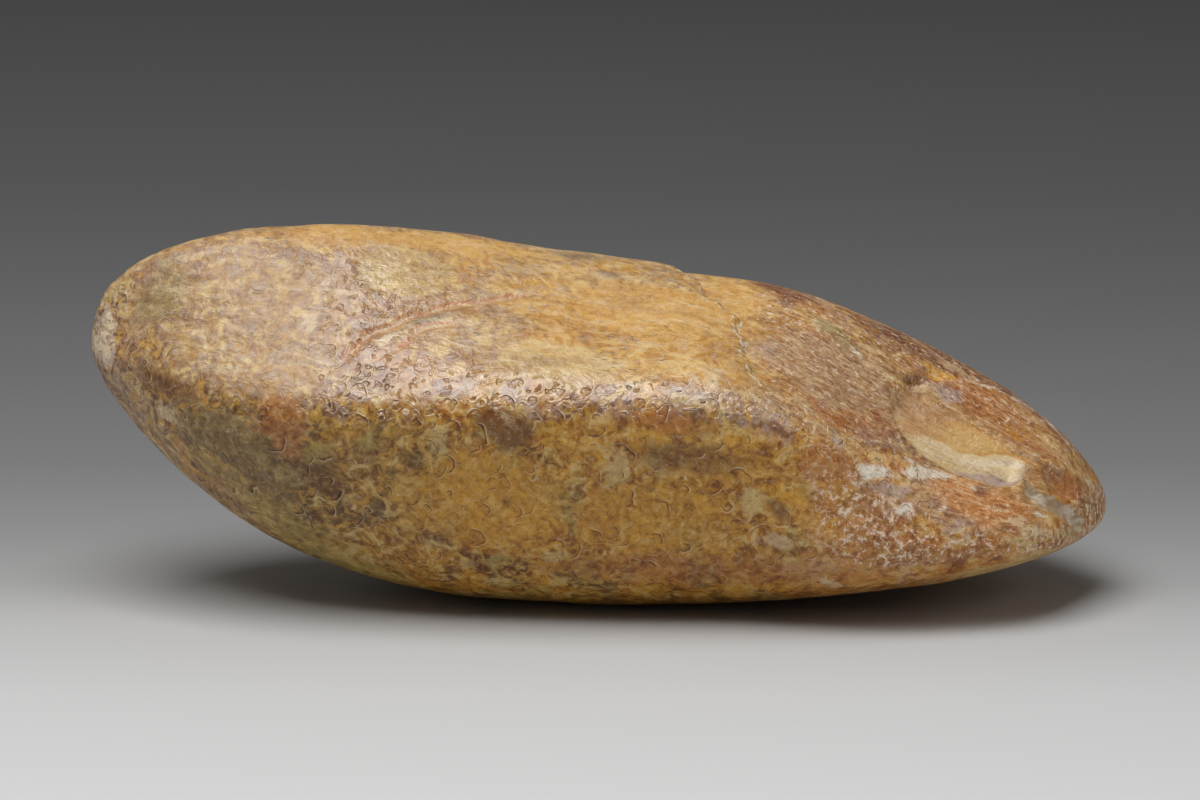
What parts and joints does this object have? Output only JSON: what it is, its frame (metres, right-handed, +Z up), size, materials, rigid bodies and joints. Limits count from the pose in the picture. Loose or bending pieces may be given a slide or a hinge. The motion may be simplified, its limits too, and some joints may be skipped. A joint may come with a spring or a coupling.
{
  "type": "stone pestle",
  "caption": "Hand pestle made of one worn, elongated cobble: a blunt raised end, a shoulder along the front, a thin, broad, flaked end and a flat belly to lie on.",
  "frame": {"origin": "on the surface the pestle lies on, under the middle of its bounding box", "axes": "+X along the stone from the blunt raised end to the thin flaked end, +Y away from the front shoulder, +Z up"},
  "size_m": [0.12, 0.0458, 0.044],
  "materials": {
    "jasper": "water-worn and handled, waxy, peppered with fine crescent marks"
  },
  "bodies": {
    "root": {"pestle_stone": "jasper"}
  },
  "joints": []
}
